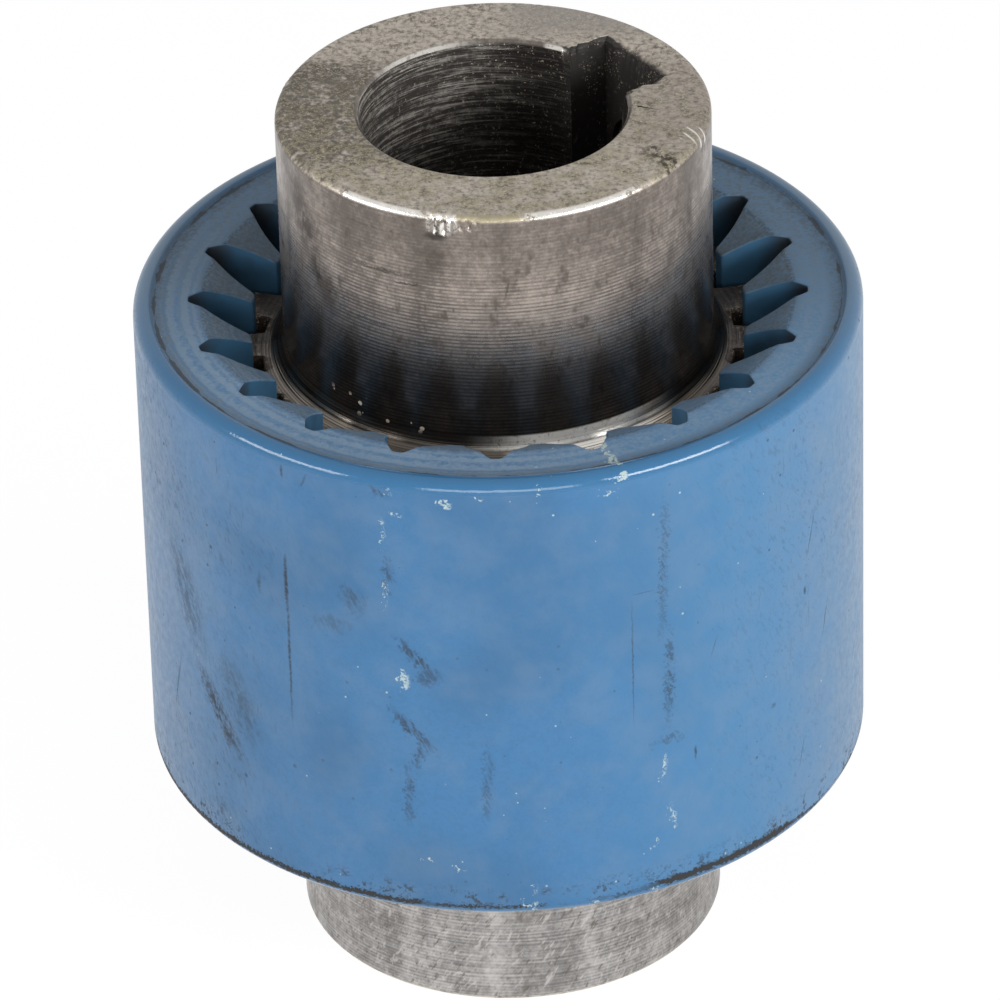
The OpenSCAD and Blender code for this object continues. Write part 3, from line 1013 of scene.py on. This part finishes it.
    # Pale scuffs and crumbs
    scuffs = kit.marks(
        torn_wall,
        (-107.5, 17.2, 0.5, 3.4, 0, 0.1, 0.78),
        (-107.2, 11, 0.4, 4.6, 0, 0.1, 0.7),
        (-105.3, 19.4, 1.5, 0.5, 0.2, 0.2, 0.74),
        (-106.6, 21.4, 1.6, 0.5, 0, 0.1, 0.7),
        (-104.9, 2, 0.9, 1.5, 0, 0.5, 0.86),
        (-97.6, 20.9, 1.2, 0.6, 0.7, 0.3, 0.82),
        (-92.5, 21.7, 2, 0.35, 0, 0.1, 0.74),
        (-83, 22, 0.7, 0.35, 0, 0.1, 0.72),
        (-70.2, 22.3, 0.9, 0.6, 0, 0.4, 1),
        (-72.2, 21, 2.4, 0.5, -0.5, 0.1, 0.72),
        (-64, -9.2, 0.45, 3, 0.2, 0.1, 0.78),
        (-62.6, -14.6, 0.45, 3.4, -0.2, 0.1, 0.82),
        (-65.8, -17.4, 0.4, 1.9, 0.7, 0.1, 0.76),
        (-101.6, -17, 1.6, 0.6, -0.5, 0.1, 0.74),
        (-97, -17.8, 1.8, 0.45, 0.2, 0.1, 0.74),
        (-85.2, -20, 0.3, 1.8, 0, 0, 0.76),
        (-86.1, -21.8, 1.6, 0.6, 0, 0.2, 0.86),
        (-65.9, -22.2, 0.7, 0.4, 0, 0.2, 0.9),
        (-75.8, -22.3, 1.3, 0.4, 0, 0.1, 0.82),
    )
    pale = (crumb * 0.8 + scuffs * 0.6).fade(0.74, 0.94, 0, 0.9) * radius.fade(bevel_r, bevel_r + 1)
    pale = pale | kit.spots(cells, 0.12, 0.085, 0.8) * 0.7 * radius.fade(bevel_r - 1, bevel_r)
    kit.paint(pale, sleeve.chalk)

    rough = kit.mix_value(on_rim * 0.95, mottle.fade(0.2, 0.8, 0.3, 0.44), far.fade(0, 1, 0.1, 0.3))
    rough = kit.mix_value(dark | pale | on_end * 0.8 | on_flank, rough, 0.7)
    return kit.finish(rough, mottle)


def hub_steel(name, pale_side):
    """Turned steel: feed lines on the collar, a speckled end face, a rusty gear and a black bore, with
    painted highlights, reflections and shade.
    """
    kit = Kit(name)
    hub = settings("hub")
    top, collar, bore = HUB_TOP / MM, hub.collar / MM, hub.bore / MM
    key_reach, key_half = hub.key_reach / MM, hub.key_width / MM / 2
    gear = (HUB_INNER_FACE + hub.gear_width) / MM
    x, y, z, radius, height, angle = kit.x, kit.y, kit.z, kit.radius, kit.height, kit.angle
    cosine, sine = math.cos(key_angle()), math.sin(key_angle())
    along_key = kit.along((cosine, sine, 0))
    across_key = abs(kit.along((-sine, cosine, 0)))
    cloud = kit.noise(scale=0.42, detail=3, roughness=0.65, seed=5)
    speck = kit.noise(scale=1.9, detail=3, roughness=0.75, seed=1)
    grit = kit.noise(scale=5.5, detail=1, seed=7)
    lines = kit.noise(stretch=(0.09, 0.09, 3.6), detail=1, seed=14)
    circles = (radius - height).rings(3.2)
    cuts = kit.noise(stretch=(0.2, 0.2, 4.6), roughness=0.75, seed=40)
    turned = kit.noise(stretch=(1.1, 1.1, 0.6), roughness=0.75, seed=23)
    # Painted reflection: upright stripes standing for the surroundings mirrored in the collar.
    reflection_bands = kit.noise(stretch=(1, 1, 0.09), scale=0.3, detail=1, seed=61)
    cells = kit.cells(1.3, 2)

    on_top = height.fade(top - 0.62, top - 0.45) * radius.fade(bore + 0.3, bore + 0.5)
    on_edge = height.fade(top - 0.66, top - 0.42) * radius.fade(collar - 0.6, collar - 0.36)
    on_collar = radius.fade(collar - 0.3, collar - 0.15) * height.fade(gear + 1, gear + 2.5)
    on_gear = height.fade(gear + 0.35, gear - 0.05)
    on_neck = height.fade(gear - 0.05, gear + 0.2) * height.fade(gear + 2.6, gear + 1.6)
    in_bore = radius.fade(bore + 0.2, bore + 0.06) * height.fade(top - 0.1, top - 0.5)
    in_key = along_key.fade(bore * 0.9, bore * 0.97) * along_key.fade(key_reach + 0.9, key_reach + 0.4)
    in_key = in_key * across_key.fade(key_half + 1.9, key_half + 1.2) * height.fade(top - 0.01, top - 0.12)

    # The collar, with painted reflection stripes and, on the upper hub, a painted dark reflection low down
    steel = hub.pale_steel if pale_side else hub.steel
    feed = (z * (math.tau / 0.36)).sine()
    if pale_side:
        feed_share, line_share = 0.03, 0.22
    else:
        feed_share = height.fade(top - 3, top - 12, 0.012, 0.1) * speck.fade(0.35, 0.6, 0.4, 1.4)
        line_share = height.fade(top - 2, top - 11, 0.08, 0.24)
    grain = lines * line_share + feed * feed_share + speck * 0.28 + turned * 0.22 + reflection_bands * 0.28
    # Dark and light copies of the steel, mixed by the turned grain and the painted reflection stripes.
    kit.base = kit.mix(grain.fade(0.34, 0.66), toned(steel, 0.5), toned(steel, 1.45))
    kit.paint(cloud.fade(0.45, 0.7) * 0.35, toned(steel, 0.5))
    blots = turned.fade(0.46, 0.68) * cloud.fade(0.4, 0.6)
    kit.paint(blots * (0.5 if pale_side else 0.75), hub.oxide_and_shade)
    if pale_side:
        rubs = kit.noise(stretch=(2.2, 2.2, 0.5), roughness=0.75, seed=71, place=kit.tilted(-35))
        kit.paint(rubs.fade(0.56, 0.7, 0, 0.6), hub.rubbed)
        kit.paint(rubs.fade(0.42, 0.3, 0, 0.6), hub.oxide_and_shade)
        # Painted shade: the lower hub darker towards its left and right sides.
        kit.paint(abs(x).fade(8, 18, 0, 0.22), hub.oxide_and_shade)
    kit.paint(kit.spots(cells, 0.5, 0.13) * (0.7 if pale_side else 0.5), hub.oxide_and_shade)
    if not pale_side:
        wall = kit.wrapped(collar, speck - 0.5, speck - 0.5)
        stains = kit.marks(
            wall,
            (-150.5, 36.8, 2.6, 5.4, -0.5, 0.4, 1),
            (-142, 32, 2.2, 4.6, -0.5, 0.2, 0.9),
            (-160, 33, 0.8, 6, 0, 0, 0.6),
            (-27, 36, 1, 6, 0, 0, 0.8),
            (-38, 33, 2, 5, 0.2, 0, 0.4),
            (-106, 37.4, 2.6, 2.2, 0, 0, 0.42),
            (-84.5, 35.5, 0.6, 2.6, 0.2, 0, 0.5),
        )
        kit.paint(stains * turned.fade(0.62, 0.42, 0.5, 1) * on_collar * 0.97, hub.stain)
        # Painted dark reflection low on the collar.
        kit.paint(height.fade(gear + 13, gear + 6, 0, 0.55), hub.film)

    # The end face
    left_side = x.fade(2, -14) * y.near(-1, 6, 6) * cloud.fade(0.3, 0.6, 0.05, 0.2)
    spotty = speck * 0.65 + turned * 0.35 - left_side
    face = kit.mix(spotty.fade(0.3, 0.6), hub.speckle, hub.face)
    face = kit.mix(cloud.fade(0.4, 0.56) * y.fade(12, -8) * speck.fade(0.36, 0.56) * 0.7, face, hub.tan)
    face = kit.mix(x.fade(7, 16) * y.near(0, 5, 6) * 0.3, face, hub.haze)
    face = kit.mix(cloud.fade(0.5, 0.62) * speck.fade(0.58, 0.42) * 0.5, face, hub.blotch)
    face = kit.mix(x.near(7.5, 3.5, 5) * y.fade(11, 15) * 0.7, face, hub.smooth)
    face = kit.mix(grit.fade(0.58, 0.68) * cloud.fade(0.4, 0.55) * 0.45, face, hub.flecks)
    if not pale_side:
        stain = (angle + (radius - 17.8) * 1.2).near(-32.5, 1.5, 3) * radius.near(18, 1.8, 0.9)
        face = kit.mix(stain * spotty.fade(0.6, 0.42) * 0.9, face, hub.drip)
    kit.paint(on_top, face)

    # The gear and the neck, with a painted highlight on the neck
    dirty = kit.mix(speck.fade(0.38, 0.56), hub.rust, hub.crust)
    dirty = kit.mix(grit.fade(0.5, 0.6) * turned.fade(0.5, 0.6) * 0.8, dirty, hub.grit)
    kit.paint(on_gear * 0.95, dirty)
    # Painted highlight: the neck shows its pale ridges only round -64 and, fainter, -155 degrees; elsewhere
    # it takes the dirt colour.
    neck_highlight = angle.near(-64, 16, 12) | angle.near(-155, 22, 16) * 0.4 | 0.12
    neck = kit.mix(circles.fade(0.4, 0.6), hub.groove, hub.ridge)
    kit.paint(on_neck * 0.9, kit.mix(neck_highlight, hub.neck_dirt, neck))
    crumbs = glint = 0.0
    if not pale_side:
        crumbs = z.near(gear + 2.7, 0.5, 1.0) * kit.spots(cells, 0.5, 0.34, 0.45)
        crumbs = crumbs * angle.near(-123, 14, 4) * on_collar
        kit.paint(crumbs, hub.grit)

    # The bore and the keyway, with painted light on the bore's left side and painted shade deeper down
    # Painted light on the bore's left side, fading to painted shade deeper down; the tool marks show only
    # where it is painted.
    lit = x.fade(4, -8, 0.1, 1) * height.fade(top - 22, top - 14, 0.6, 1)
    inner = kit.mix(lit, hub.soot, hub.lit_bore)
    inner = kit.mix((cuts * 0.75 + speck * 0.25).fade(0.46, 0.68) * lit, inner, hub.cut)
    inner = kit.mix(grit.fade(0.6, 0.68) * speck.fade(0.5, 0.6), inner, hub.grit)
    kit.paint(in_bore, inner)
    key_black = kit.mix(speck.fade(0.55, 0.75), hub.soot, hub.key_scuff)
    key_black = kit.mix(grit.fade(0.64, 0.7) * cloud.fade(0.5, 0.6) * 0.7, key_black, hub.grit)
    kit.paint(in_key, key_black)

    # The edges that are worn bare, and painted highlights on the collar's edge, the bore's edge, the gear's
    # face and the collar's foot
    edge_wear = (cloud + speck * 0.25).fade(0.5, 0.66)
    bore_edge = height.fade(top - 0.5, top - 0.35) * radius.fade(bore + 0.4, bore + 0.26)
    bore_edge = bore_edge * radius.fade(bore + 0.02, bore + 0.1)
    if pale_side:
        worn_and_highlight = on_edge * edge_wear * 0.4 | bore_edge * edge_wear * 0.6
    else:
        # Painted highlights along the collar's rounded edge, at the angles where the lamps are mirrored,
        # broken by wear.
        highlight_arcs = kit.marks(
            wall,
            (-120.5, top - 0.2, 4.6, 1.2, 0, 0.6, 1),
            (-65, top - 0.15, 6.6, 0.9, 0, 0.5, 1),
            (-103, top - 0.3, 1.6, 1, 0, 0.5, 1),
        )
        worn_and_highlight = on_edge * (highlight_arcs + edge_wear * 0.15 + speck * 0.8).fade(0.75, 1.0)
        kit.paint(on_edge * angle.near(-91, 7, 4) * 0.8, hub.tan)
        kit.paint(kit.marks(wall, (-104.6, top - 2.2, 1.5, 0.5, 0, 0.3, 0.8)), hub.nick)
        nick = kit.marks(wall, (-102.8, top - 1.0, 1.5, 1, 0, 0.6, 1))
        nick = nick * radius.fade(collar - 1.7, collar - 1.2) * (angle * 3.4).sine().fade(-0.6, 0.3, 0.25, 1)
        stripe = ((angle + radius * 2.5) * 1.9).sine()
        scrape = angle.near(-17, 3.2, 1.0) * radius.fade(collar - 2.0, collar - 1.5)
        scrape = scrape * stripe.fade(0.55, 0.9) * height.fade(top - 1.4, top - 0.9)
        worn_and_highlight = worn_and_highlight | nick * speck.fade(0.35, 0.5) | scrape * 0.9
        scars = kit.marks(
            wall,
            (-121, top - 6.7, 4.2, 0.2, 0, 0.3, 0.75),
            (-113, top - 7.5, 2.2, 0.14, 0, 0.3, 0.8),
            (-86.5, top - 7.4, 0.16, 1.5, 0.2, 0.3, 0.6),
            (-124, top - 2.6, 5, 0.14, 0, 0.3, 0.35),
        )
        kit.paint(scars, hub.scar)
        # Painted highlight along the back of the bore's edge.
        bore_highlight_arc = angle.near(125, 8, 26) | angle.near(63, 3, 3)
        worn_and_highlight = worn_and_highlight | bore_edge * bore_highlight_arc * speck.fade(0.36, 0.5, 0.5, 1) * 0.85
        # Painted highlights: a patch on the gear's face and fillet round -67 degrees, and specks on the
        # tooth tips round -110 degrees.
        polish_and_highlight = angle.near(-67, 13, 9) * radius.near(20.9, 0.6, 0.5) * circles.fade(0.3, 0.5)
        tips = angle.near(-110, 5, 2) * radius.near(22.5, 0.8, 0.5) * speck.fade(0.5, 0.58)
        polish_and_highlight = (polish_and_highlight | tips) * height.near(gear + 0.5, 0.8, 0.4)
        # Painted highlight at the foot of the collar.
        glint = angle.near(-68, 9, 24) * height.near(gear + 1.4, 0.45, 0.3)
        glint = glint * radius.fade(20.6, 20.2) * speck.fade(0.3, 0.5, 0.6, 1)
        worn_and_highlight = worn_and_highlight | polish_and_highlight | glint
    kit.paint(worn_and_highlight, hub.bright)

    rough = cloud.fade(0.3, 0.7, 0.24, 0.36)
    if not pale_side:
        rough = kit.mix_value(height.fade(gear + 12, gear + 5), rough, 0.19)
    rough = kit.mix_value(on_top, rough, speck.fade(0.3, 0.7, 0.62, 0.45))
    for share, roughness in ((on_gear * 0.9, 0.72), (in_key, 0.6), (on_neck, 0.26), (worn_and_highlight, 0.2)):
        rough = kit.mix_value(share, rough, roughness)
    if pale_side:
        rough = rough + 0.1
    relief = speck * (on_top * 1.8 | on_gear * 5.0) + cuts * in_bore * 3.0 + circles * on_neck * 2.0
    metallic = kit.mix_value(on_gear * (0.7 - worn_and_highlight), 0.95, 0.0)
    dulled = on_top * speck.fade(0.55, 0.35) * 0.7 | in_key * 0.7 | in_bore * 0.6 | crumbs | glint * 0.75
    return kit.finish(rough, relief, kit.mix_value(dulled, metallic, 0.2))


def screw_steel():
    """Blackened steel with grit in the thread."""
    kit = Kit("screw_steel")
    speck = kit.noise(scale=2.2, detail=4, roughness=0.7)
    grit = kit.noise(scale=7, seed=4)
    kit.base = kit.mix(speck.fade(0.5, 0.72), settings("screw").black, settings("screw").grit)
    return kit.finish(grit.fade(0.3, 0.7, 0.35, 0.6), speck + grit, 0.85)


# Stage

def floor_material():
    """Pale floor that stays near white for the camera but keeps the shadow."""
    stage = settings("stage")
    material = bpy.data.materials.new("floor")
    material.use_nodes = True
    tree = material.node_tree
    shader = tree.nodes["Principled BSDF"]
    connect(tree, shader, {"Base Color": stage.floor, "Roughness": 0.9, "Specular IOR Level": 0.1})
    path = add_node(tree, "ShaderNodeLightPath").outputs
    rays = {0: path["Is Camera Ray"], 1: path["Is Glossy Ray"]}
    seen = add_node(tree, "ShaderNodeMath", rays, operation="MAXIMUM")
    share = add_node(tree, "ShaderNodeMath", {0: seen, 1: stage.floor_glow}, operation="MULTIPLY")
    glow = add_node(tree, "ShaderNodeEmission", {"Color": WHITE, "Strength": stage.floor_white})
    mix = add_node(tree, "ShaderNodeMixShader", {0: share, 1: shader, 2: glow})
    connect(tree, tree.nodes["Material Output"], {"Surface": mix})
    return material


def make_world():
    """White for the camera, a little less for gloss, and a dim even light for the rest."""
    stage = settings("stage")
    world = bpy.data.worlds.new("studio")
    bpy.context.scene.world = world
    world.use_nodes = True
    tree = world.node_tree
    path = add_node(tree, "ShaderNodeLightPath").outputs
    inputs = {"Value": path["Is Glossy Ray"], "To Min": stage.ambient, "To Max": stage.gloss}
    gloss = add_node(tree, "ShaderNodeMapRange", inputs)
    camera = add_node(tree, "ShaderNodeMapRange", {"Value": path["Is Camera Ray"], "To Min": gloss})
    connect(tree, tree.nodes["Background"], {"Color": WHITE, "Strength": camera})


def area_light(name, place, width, tallness, power):
    """A softbox at a place, facing the object."""
    lamp = bpy.data.lights.new(name, "AREA")
    lamp.shape = "RECTANGLE"
    lamp.size = width
    lamp.size_y = tallness
    lamp.energy = power
    light = placed(name, lamp)
    light.location = place
    light.rotation_euler = Vector(place).to_track_quat("Z", "Y").to_euler()


def make_camera():
    """The camera at the photograph's angle, height and lens."""
    stage = settings("stage")
    data = bpy.data.cameras.new("camera")
    data.sensor_width = 36
    data.lens = stage.lens
    data.clip_start = 0.01
    data.clip_end = 20
    elevation = math.radians(stage.elevation)
    flat = polar(math.cos(elevation), math.radians(stage.azimuth - 90), math.sin(elevation))
    spot = Vector(flat) * stage.distance
    turn = (spot - Vector(stage.aim)).to_track_quat("Z", "Y").to_matrix()
    turn = turn @ Matrix.Rotation(math.radians(stage.roll), 3, "Z")
    camera = placed("camera", data)
    camera.matrix_world = Matrix.Translation(spot) @ turn.to_4x4()
    bpy.context.scene.camera = camera


# Operators

class COUPLING_OT_sleeve(bpy.types.Operator):
    """Build the plastic sleeve"""

    bl_idname = "coupling.sleeve"
    bl_label = "Sleeve"

    def execute(self, context):
        material = sleeve_plastic()
        mesh = toothed_ring("sleeve", sleeve_sector(), material)
        finished("sleeve", mesh, material, "sleeve_body")
        return {"FINISHED"}


class COUPLING_OT_hubs(bpy.types.Operator):
    """Build the two hubs"""

    bl_idname = "coupling.hubs"
    bl_label = "Hubs"

    def execute(self, context):
        steel = hub_steel("upper_hub_steel", False)
        upper = drilled(hub_mesh("upper_hub", steel))
        lower = turned_over(upper)
        dents = (-103.4, 1, 0.32, 1.1), (-16.5, 1, 0.1, 0.9), (-96.5, 0.9, 0.25, 0.5)
        for angle, width, depth, height in dents:
            dent(upper, angle, width * MM, depth * MM, height * MM)
        finished("upper_hub", upper, steel, "upper_hub_body")
        brushed = hub_steel("lower_hub_steel", True)
        finished("lower_hub", lower, brushed, "lower_hub_body")
        return {"FINISHED"}


class COUPLING_OT_set_screws(bpy.types.Operator):
    """Build the two set screws"""

    bl_idname = "coupling.set_screws"
    bl_label = "Set screws"

    def execute(self, context):
        material = screw_steel()
        upper = screw_mesh()
        lower = turned_over(upper)
        finished("upper_set_screw", upper, material, "upper_screw_body")
        finished("lower_set_screw", lower, material, "lower_screw_body")
        return {"FINISHED"}


class COUPLING_OT_stage(bpy.types.Operator):
    """Build the floor, the light and the camera"""

    bl_idname = "coupling.stage"
    bl_label = "Stage"

    def execute(self, context):
        reach = 3.0
        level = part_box("lower_hub")[0].z
        corners = [[(x, y, level) for x in (-reach, reach)] for y in (-reach, reach)]
        floor = placed("floor", grid_mesh("floor", corners))
        floor.data.materials.append(floor_material())
        make_world()
        area_light("key_left", (-0.348, -0.162, 0.17), 0.26, 0.1, 0.65)
        area_light("key_right", (0.30, -0.24, 0.17), 0.26, 0.1, 1.1)
        area_light("front", (0.0, -0.5, 0.12), 0.4, 0.15, 0.95)
        make_camera()
        context.scene.view_settings.view_transform = "Standard"
        return {"FINISHED"}


class COUPLING_PT_panel(bpy.types.Panel):
    """Panel that lists the settings and the steps."""

    bl_idname = "COUPLING_PT_panel"
    bl_label = "Shaft coupling"
    bl_space_type = "VIEW_3D"
    bl_region_type = "UI"
    bl_category = "Coupling"

    def draw(self, context):
        for step in OPERATORS:
            self.layout.operator(step.bl_idname)
        for name in GROUPS:
            group = settings(name)
            box = self.layout.box()
            box.label(text=name.capitalize())
            for field in group.__annotations__:
                box.prop(group, field)


GROUPS = {
    "teeth": TeethSettings,
    "sleeve": SleeveSettings,
    "hub": HubSettings,
    "screw": ScrewSettings,
    "stage": StageSettings,
}
OPERATORS = (COUPLING_OT_sleeve, COUPLING_OT_hubs, COUPLING_OT_set_screws, COUPLING_OT_stage)


def register():
    for name, group in GROUPS.items():
        bpy.utils.register_class(group)
        setattr(bpy.types.Scene, "coupling_" + name, bpy.props.PointerProperty(type=group))
    for made in OPERATORS + (COUPLING_PT_panel,):
        bpy.utils.register_class(made)


def unregister():
    for made in (COUPLING_PT_panel,) + OPERATORS[::-1]:
        bpy.utils.unregister_class(made)
    for name, group in GROUPS.items():
        delattr(bpy.types.Scene, "coupling_" + name)
        bpy.utils.unregister_class(group)


def main():
    register()
    bpy.ops.coupling.sleeve()
    bpy.ops.coupling.hubs()
    bpy.ops.coupling.set_screws()
    bpy.ops.coupling.stage()


if __name__ == "__main__":
    main()
